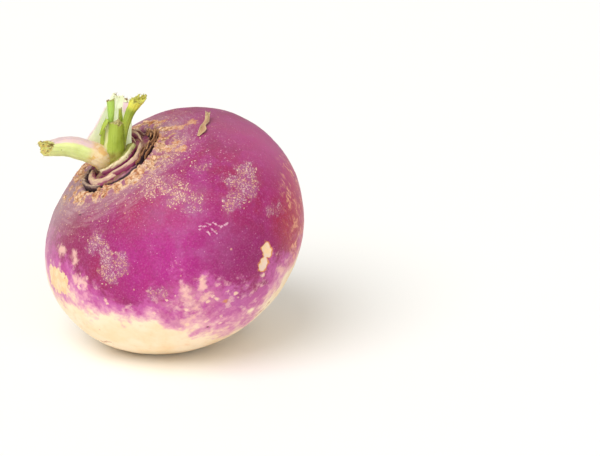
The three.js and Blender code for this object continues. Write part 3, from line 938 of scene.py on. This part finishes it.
def stem(route, inner, width, thick, bow, slant=0.0, tear=0.8, sink=1.2, ribs=0.07, flush=None, foot=0.2,
         bright=0.0, longer_below=0.0, seed=0, stacks=96, slices=64, origin=CROWN):
    """Rings and fields of a stalk. Lists run evenly from its foot to its broken end."""
    shares = np.concatenate([np.linspace(0, 1, stacks), np.ones(len(BREAK))])
    size = np.concatenate([np.ones(stacks), [ring_size for ring_size, _ in BREAK]])[:, None]
    sunk = np.concatenate([np.zeros(stacks), [depth * sink for _, depth in BREAK]])[:, None]
    middle = smooth_route(route, shares)
    tangent = unit(smooth_route(route, shares + 0.01) - smooth_route(route, shares - 0.01))
    inner = np.array(inner, float)
    inwards = unit(inner - tangent * (tangent @ inner)[:, None])
    across = np.cross(inwards, tangent)
    turn = full_turn(slices)
    side, depth = np.cos(turn), np.sin(turn)
    half_width = smooth_route(width, shares) / 2
    half_thick = smooth_route(thick, shares) / 2
    curl = smooth_route(bow, shares)
    share = shares[:, None]
    channel = np.where(depth > 0, np.minimum(curl, 0.6 * half_thick) * depth * (1 - side**2), 0)
    rim = pole(1.7, turn[0], seed)
    jag = rough(rim, 1.0, seed, 4)[None] + 0.5 * rough(rim, 0.35, seed + 3, 2)[None]
    rib = ribs * np.cos(RIBS * turn + 3 * jag) * ramp(share, 0, 0.2)
    wide = side * half_width * (1 + rib / half_width) * size
    deep = (depth * half_thick * (1 + rib / half_thick) + curl * side**2 - channel) * size
    slanted = (slant * side - longer_below * depth) * share**8
    up = slanted + tear * jag * ramp(share, TEARS_FROM, 1) * size - sunk
    points = (middle[:, None] + across[:, None] * wide[..., None] + inwards[:, None] * deep[..., None]
              + tangent[:, None] * up[..., None])
    dents = DENT_DEPTH * rough(points, DENT_SIZE, seed + 5, 3) * size
    outward = unit(across[:, None] * side[..., None] + inwards[:, None] * depth[..., None])
    points = points + outward * dents[..., None]
    run = np.diff(smooth_route(route, np.linspace(0, 1, 40)), axis=0)
    length = np.linalg.norm(run, axis=1).sum()
    fields = {"side": side + 0 * share, "depth": depth + 0 * share, "along": share * length + 0 * side,
              "torn": np.maximum(ramp(share + 0.05 * jag, TORN_FROM, 1.0), size < 1),
              "flush": 0 * side + (flush(side, depth, share) if flush else 0 * share),
              "foot": ramp(share + 0.04 * jag, foot + 0.1, foot - 0.05), "bright": bright}
    return points + origin, fields


# %% Finishes of the stalks
def stalk_finish(name, flesh, deep, flushed, frayed, foot, pale_foot="#e8dca0", glow=0.35, painted_glow=0.0,
                 browned=1.0):
    """Ribbed flesh, flushed where the mesh says so, yellowed at the foot and brown where torn. It also gives
    off its own colour as a painted glow, as strong as painted_glow says.
    """
    finish, tree, shader, place = new_finish(name)
    number = partial(field, tree)
    lengthwise = joined(times(number("side"), 5.0), times(number("depth"), 5.0), times(number("along"), 0.12))
    strings = clouds(lengthwise, 0.8, 0.35, 0.68)
    patchy = clouds(place, 5.0, 0.38, 0.66, 3.0)
    wavering = plus(number("flush"), times(minus(patchy, 0.5), 0.3))
    yellowed = coat(clouds(place, 2.5, 0.45, 0.6, 3.0), pale_foot, foot)
    fray = clouds(place, 0.8, 0.4, 0.6)
    torn = number("torn")
    brown = times(clouds(place, 1.0, 0.52, 0.62), browned)
    colour = coats(
        flesh, (patchy, deep), (times(strings, 0.3), flesh), (fade(wavering, 0.2, 0.9), flushed),
        (number("bright"), "#a3cc5c"), (times(number("foot"), 0.9), yellowed),
        (times(dots(place, 2.4, 0.2, 0.35), 0.6), "#7d6a34"),
        (fade(torn, 0.1, 0.8), coat(times(fray, browned), frayed, deep)),
        (times(brown, fade(torn, 0.3, 0.9)), "#7a5228"))
    dress(shader, colour, 0.45, plus(strings, times(fray, torn, 2.0)), {
        "Roughness": 0.38, "Emission Color": colour, "Emission Strength": painted_glow, "Subsurface Weight": glow,
        "Subsurface Radius": (1.0, 0.9, 0.4), "Subsurface Scale": 0.003})
    return finish


# %% Four kinds of flesh
left_flesh = stalk_finish("pale_stalk_flesh", "#dfe69c", "#d0dc88", "#e4c6c4", "#cdb45e", "#dcae62",
                          "#e8cca4", browned=0.7)
# The white back stalk gives off a painted glow of its own colour, which stands in for the light that shines
# through it.
back_flesh = stalk_finish("white_stalk_flesh", "#eef3d6", "#e2ecc0", "#e2c3cf", "#ecebc8", "#d3dc9c",
                          "#e6e8c4", 0.05, 0.25)
green_flesh = stalk_finish("green_stalk_flesh", "#a9bb42", "#97ac33", "#dfe0a0", "#d6bd88", "#9c8a3e",
                           "#b9b45e", browned=0.7)
tip_flesh = stalk_finish("yellow_stalk_flesh", "#b4c24e", "#9bb03c", "#e6e25c", "#e6e068", "#a4a858",
                         browned=0.4)
print("stalk finishes:", [finish.name for finish in (left_flesh, back_flesh, green_flesh, tip_flesh)])

# %% The stalks
SLIVER = {"slices": 24, "stacks": 60, "foot": -1}  # a thin torn shred, with no yellow foot
STALKS = {
    "stalk_left": (left_flesh, "pale_stalk", [
        dict(route=[(-3.5, 1.6, -3.2), (-5.2, 0.8, -0.2), (-9.0, 0.2, 1.9), (-15.4, -1.0, 4.1),
                    (-22.6, -2.2, 3.9)],
             inner=(0.25, 0.12, 1), width=[6.8, 8.4, 7.8, 7.4, 6.6], thick=[6.6, 8.0, 7.6, 7.0, 4.9],
             bow=[0.1, 0.2, 0.3, 0.4, 0.9], slant=-1.6, tear=1.2, sink=2.6, seed=1, foot=0.46,
             longer_below=1.6, flush=lambda side, depth, share: ramp(depth, 0.15, 0.55)),
    ]),
    "stalk_back": (back_flesh, "pale_stalk", [
        dict(route=[(-3.5, 6.0, -3.4), (-2.5, 6.2, 2.2), (-0.9, 6.2, 7.9), (0.7, 6.2, 13.6),
                    (2.0, 6.0, 18.6)],
             inner=(0, -1, 0), width=[14.4, 15.8, 12.2, 9.4, 6.0], thick=[2.4, 2.4, 2.3, 2.2, 1.8],
             bow=[2.6, 2.6, 2.2, 1.8, 1.2], slant=0.6, tear=1.1, sink=0.7, seed=2, ribs=0.05,
             flush=lambda side, depth, share: np.maximum(
                 0.7 * ramp(side, 0.7, 1.0) * ramp(share, 1, 0.7),
                 ramp(side, 0.0, -0.5) * ramp(share, 0.6, 0.85))),
    ]),
    "stalk_front": (green_flesh, "green_stalk", [
        dict(route=[(-0.9, -0.4, -3.0), (-0.8, -0.5, 2.0), (-0.5, -0.5, 7.0), (-0.2, -0.4, 11.7)],
             inner=(0, 1, 0), width=[6.8, 6.8, 6.2, 5.9], thick=[3.4, 3.9, 3.8, 3.6],
             bow=[0.3, 0.5, 0.7, 0.8], slant=-0.6, tear=1.5, sink=1.8, seed=3, ribs=0.025, foot=0.3,
             flush=lambda side, depth, share: ramp(side, -0.45, -0.8)),
        dict(route=[(-4.2, 0.7, -1.5), (-4.3, 0.5, 4.0), (-3.7, 0.3, 9.5)], inner=(0.3, 1, 0),
             width=[2.0, 2.2, 1.6], thick=[1.4, 1.2, 0.8], bow=[0.1, 0.2, 0.2], tear=0.9, sink=0.3,
             seed=12, **SLIVER),
        dict(route=[(-1.7, 0.3, 8.5), (-1.4, 0.5, 14.0), (-1.4, 0.8, 19.0)], inner=(0.2, 1, 0),
             width=[1.3, 2.0, 2.8], thick=[1.6, 1.2, 0.9], bow=[0.1, 0.3, 0.4], slant=0.2, tear=0.9,
             sink=0.3, seed=4, bright=0.7, **SLIVER),
        dict(route=[(-2.6, -1.6, 13.0), (-3.8, -1.9, 11.0), (-5.1, -1.7, 7.8)], inner=(0.9, 0.4, 0),
             width=[2.2, 2.1, 0.7], thick=[1.0, 0.9, 0.5], bow=[0.1, 0.2, 0.1], tear=0.7, sink=0.2,
             seed=5, bright=0.1, **SLIVER),
    ]),
    "stalk_right": (tip_flesh, "green_stalk", [
        dict(route=[(2.2, 1.7, -2.2), (2.3, 1.7, 4.0), (3.2, 1.1, 9.6), (5.1, 0.0, 15.0), (8.1, -0.8, 19.6)],
             inner=(-0.6, 0.6, 0.3), width=[1.6, 1.8, 2.8, 3.8, 6.2], thick=[1.6, 1.8, 2.2, 2.5, 3.0],
             bow=[0.2, 0.2, 0.3, 0.4, 0.5], slant=1.0, tear=1.6, sink=1.0, seed=6,
             flush=lambda side, depth, share: ramp(share, 0.72, 0.95) + 0 * side),
    ]),
    "heart_leaf": (green_flesh, "green_stalk", [
        dict(route=[(1.6, 2.8, -2.0), (1.5, 2.8, 7.0), (1.6, 2.6, 15.6)], inner=(0, 1, 0),
             width=[2.2, 2.0, 0.9], thick=[1.6, 1.4, 0.7], bow=[0.2, 0.2, 0.1], slant=0.3, tear=0.4,
             sink=0.2, seed=7, slices=32),
    ]),
}
stalk_meshes = {}
for name, (finish, slot, shapes) in STALKS.items():
    stalk_meshes[name] = rings_to_mesh("snapped_" + name, [stem(**shape) for shape in shapes])
    piece("snapped_" + name, stalk_meshes[name], finish, slot, name)

# %% [markdown]
# ## The dry flake
#
# One shred of leaf sheath has dried on the shoulder and lifts off it at one end. It is the same sweep
# as a stalk, laid along the skin and made thin as a leaf. It bends from side to side and curls one way
# and then the other, because a dry shred never lies flat.

# %% Flake
FLAKE = {"from": (39.5, 143), "to": (43.5, 165.5), "inner": (42, 158)}  # colatitude, longitude
LIFTS = [0.3, 0.4, 0.9, 1.5, 2.1]  # millimetres above the skin
BENDS = [0, 0.3, -0.35, 0.2, -0.4]  # degrees to the side of a straight line
way = []
for share, lift, bend in zip(np.linspace(0, 1, len(LIFTS)), LIFTS, BENDS):
    spot = on_skin(*(np.array(FLAKE["from"]) * (1 - share) + np.array(FLAKE["to"]) * share + (bend, 0)))
    way.append(np.array(spot) + np.array(spot.normalized()) * lift)
points, fields = stem(route=laid(way), inner=laid_down @ on_skin(*FLAKE["inner"]),
                      width=[0.6, 2.3, 1.2, 1.6, 1.6], thick=[0.4] * 5, bow=[0.1, 0.9, 0.2, -0.5, 0.4],
                      tear=2.0, sink=0.1, ribs=0.02, seed=9, slices=32, origin=0)
fields |= {"rise": 0.7 + 0.28 * np.abs(fields["side"]), "run": fields["along"], "outside": fields["depth"]}
flake_finish = base_finish("dry_flake", "#d9bd90", "#b59a68", "#b98f6d", "#e0cba8", 0.4, 0.7)
flake_mesh = rings_to_mesh("curled_flake", [(points, fields)])
piece("curled_flake", flake_mesh, flake_finish, "dry_base", "dry_flake")

# %% [markdown]
# ## Crumbs, strings and rootlets
#
# The last layer is small things: corky crumbs round the collar, sand on the shoulder, torn strings and
# rind at the broken stalks, and dry hairs on the tail. They repeat and they follow a surface, which is
# what Geometry Nodes is for. One tree scatters any small shape over any mesh. How thickly it does so
# follows a number that the mesh carries, so the crumbs gather where the skin is crusted.

# %% A tree that scatters
SOCKETS = {"Geometry": "Geometry", "Shape": "Object", "Where": "String", "Per square metre": "Float",
           "Smallest": "Float", "Largest": "Float", "Seed": "Int", "Finish": "Material"}


def scatter_tree():
    """Points on a surface, as many as a number of the mesh says, with a small shape at each."""
    tree = bpy.data.node_groups.new("scatter_over_surface", "GeometryNodeTree")
    for label, kind in SOCKETS.items():
        tree.interface.new_socket(label, in_out="INPUT", socket_type="NodeSocket" + kind)
    tree.interface.new_socket("Geometry", in_out="OUTPUT", socket_type="NodeSocketGeometry")
    given = tree.nodes.new("NodeGroupInput").outputs

    def made(kind, inputs, **settings):
        """The outputs of a new node."""
        return add(tree, kind, inputs, **settings).outputs

    where = made("GeometryNodeInputNamedAttribute", {"Name": given["Where"]}, data_type="FLOAT")[0]
    points = made("GeometryNodeDistributePointsOnFaces", {
        "Mesh": given["Geometry"], "Density": times(where, given["Per square metre"]), "Seed": given["Seed"]})
    size = made("FunctionNodeRandomValue", {
        2: given["Smallest"], 3: given["Largest"], "Seed": given["Seed"]})[1]
    twist = made("FunctionNodeRandomValue", {2: 0.0, 3: 2 * math.pi, "Seed": 7})[1]
    spin = made("FunctionNodeAxisAngleToRotation", {"Axis": (0, 0, 1), "Angle": twist})[0]
    turned = {"Rotation": points["Rotation"], "Rotate By": spin}
    rotation = made("FunctionNodeRotateRotation", turned, rotation_space="LOCAL")[0]
    shape = made("GeometryNodeObjectInfo", {"Object": given["Shape"]})["Geometry"]
    placed = made("GeometryNodeInstanceOnPoints", {
        "Points": points["Points"], "Instance": shape, "Rotation": rotation, "Scale": size})[0]
    real = made("GeometryNodeRealizeInstances", {0: placed})[0]
    finished = made("GeometryNodeSetMaterial", {"Geometry": real, "Material": given["Finish"]})[0]
    fill(tree.nodes.new("NodeGroupOutput"), {0: finished})
    return tree


scatter = scatter_tree()
print("scatter tree:", len(scatter.nodes), "nodes")


# %% Scatter one mesh over another
def scattered(name, ground, shape, where, per_square_metre, smallest, largest, seed, finish, slot):
    """Scatter a small mesh over another one and keep the result as a plain piece."""
    helpers = [bpy.data.objects.new("helper", thing) for thing in (ground, shape)]
    for helper in helpers:
        scene.collection.objects.link(helper)
    carrier, shape = helpers
    settings = dict(zip(list(SOCKETS)[1:], (shape, where, per_square_metre, smallest, largest, seed, finish)))
    modifier = carrier.modifiers.new("scatter", "NODES")
    modifier.node_group = scatter
    for item in scatter.interface.items_tree:
        if item.in_out == "INPUT" and item.name in settings:
            modifier[item.identifier] = settings[item.name]
    dressed = carrier.evaluated_get(bpy.context.evaluated_depsgraph_get())
    mesh = bpy.data.meshes.new_from_object(dressed)
    mesh.name = name
    carrier.modifiers.remove(modifier)
    for helper in helpers:
        bpy.data.objects.remove(helper)
    piece(name, mesh, finish, slot)


# %% A crumb and a string
def crumb_mesh():
    """A flat irregular lump, one unit across."""
    shell = bmesh.new()
    bmesh.ops.create_icosphere(shell, subdivisions=1, radius=0.5)
    for vertex in shell.verts:
        vertex.co *= 1 + 0.5 * noise.noise(vertex.co * 3.1 + Vector((4, 1, 7)))
        vertex.co.x *= 1.5
        vertex.co.z *= 0.45
    mesh = bpy.data.meshes.new("crumb")
    shell.to_mesh(mesh)
    shell.free()
    return mesh


def string_mesh():
    """A tapered, bent string, one unit long."""
    height = np.linspace(0, 1, 6)[:, None]
    turn = full_turn(4)
    thick = 0.07 * (1 - 0.85 * height)
    bend = np.stack([0.35 * height**2, 0.1 * np.sin(5 * height), 0 * height], axis=-1)
    return rings_to_mesh("string", [((pole(thick, turn, height) + bend) / MM, {})])


crumb, string = crumb_mesh(), string_mesh()
print("crumb:", len(crumb.polygons), "faces, string:", len(string.polygons), "faces")


# %% Finishes of small things
def speckled(name, light, dark, roughness):
    """A dull finish of two colours, for very small things."""
    finish, _, shader, place = new_finish(name)
    colour = coat(clouds(place, 1.6, 0.35, 0.65, 2.0), light, dark)
    fill(shader, {"Base Color": colour, "Roughness": roughness})
    return finish


cork = speckled("corky_crumbs", "#e8c29c", "#ad6c42", 0.9)
torn_string = speckled("torn_strings", "#d8cf8a", "#9a7a3c", 0.6)
pale_sand = speckled("pale_sand", "#dcbba6", "#c6957a", 0.9)
tail_hair = speckled("tail_hairs", "#d8bd92", "#a87f52", 0.7)
torn_rind = speckled("torn_rind", "#d4c884", "#86602e", 0.7)

# %% Scatter crumbs, sand, strings and hairs
# The number that says where, how many per square metre, the smallest and largest in metres, and a seed.
scattered("collar_crumbs", root_mesh, crumb, "crumbs", 6.5e5, 0.0004, 0.0018, 3, cork, "dry_base")
scattered("shoulder_sand", root_mesh, crumb, "sandy", 2.0e6, 0.00015, 0.00055, 4, pale_sand, "dry_base")
for name, count in (("stalk_left", 3e5), ("stalk_back", 4e5), ("stalk_front", 1.1e6), ("stalk_right", 3e5)):
    scattered("strings_" + name, stalk_meshes[name], string, "torn", count, 0.0006, 0.0018, 5, torn_string,
              STALKS[name][1])
scattered("tail_hairs", root_mesh, string, "tail", 4e5, 0.0012, 0.0032, 8, tail_hair, "skin")
for name, *numbers in (("front", 3.5e5, 0.0003, 0.001, 6), ("left", 1.2e5, 0.0004, 0.0012, 7)):
    stalk = "stalk_" + name
    scattered("torn_rind_" + name, stalk_meshes[stalk], crumb, "torn", *numbers, torn_rind, STALKS[stalk][1])
